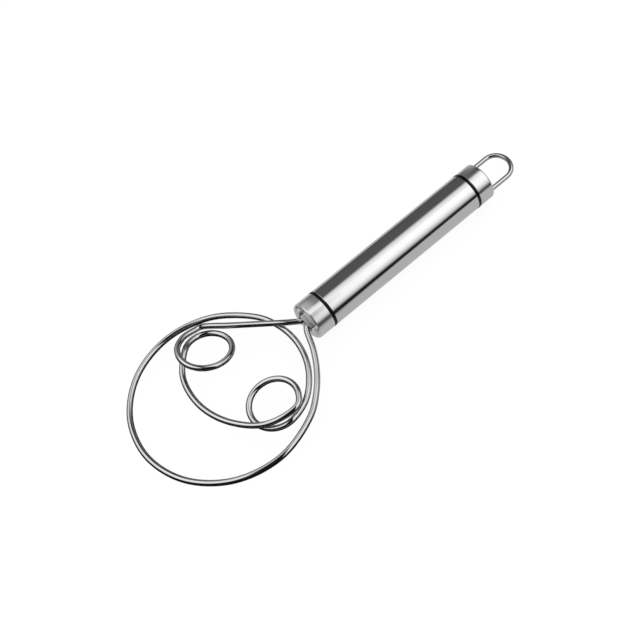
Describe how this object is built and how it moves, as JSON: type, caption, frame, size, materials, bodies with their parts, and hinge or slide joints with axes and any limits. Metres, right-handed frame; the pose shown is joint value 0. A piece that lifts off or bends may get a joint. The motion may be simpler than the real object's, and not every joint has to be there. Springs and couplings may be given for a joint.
{
  "type": "dough whisk",
  "caption": "Dough whisk with a bent steel wire head, a large ring with smaller loops inside it, on a round steel handle that ends in a wire loop to hang it by.",
  "frame": {"origin": "on the handle's axis, at the middle of the barrel", "axes": "+X along the handle, from the wire head to the hanging loop; +Z square to the plane of the wire head, on the side where the inner loops rise; +Y across the head"},
  "size_m": [0.2366, 0.0932, 0.0203],
  "materials": {
    "wire_steel": "polished",
    "cap_steel": "satin",
    "inner_steel": "satin",
    "black_plastic": "gloss",
    "barrel_steel": "polished"
  },
  "bodies": {
    "root": {"head_wire": "wire_steel", "front_cap": "cap_steel", "wire_clamp": "inner_steel", "front_plug": "black_plastic", "barrel": "barrel_steel", "rear_plug": "black_plastic", "rear_cap": "cap_steel", "hang_loop": "wire_steel", "loop_retainer": "inner_steel"}
  },
  "joints": []
}
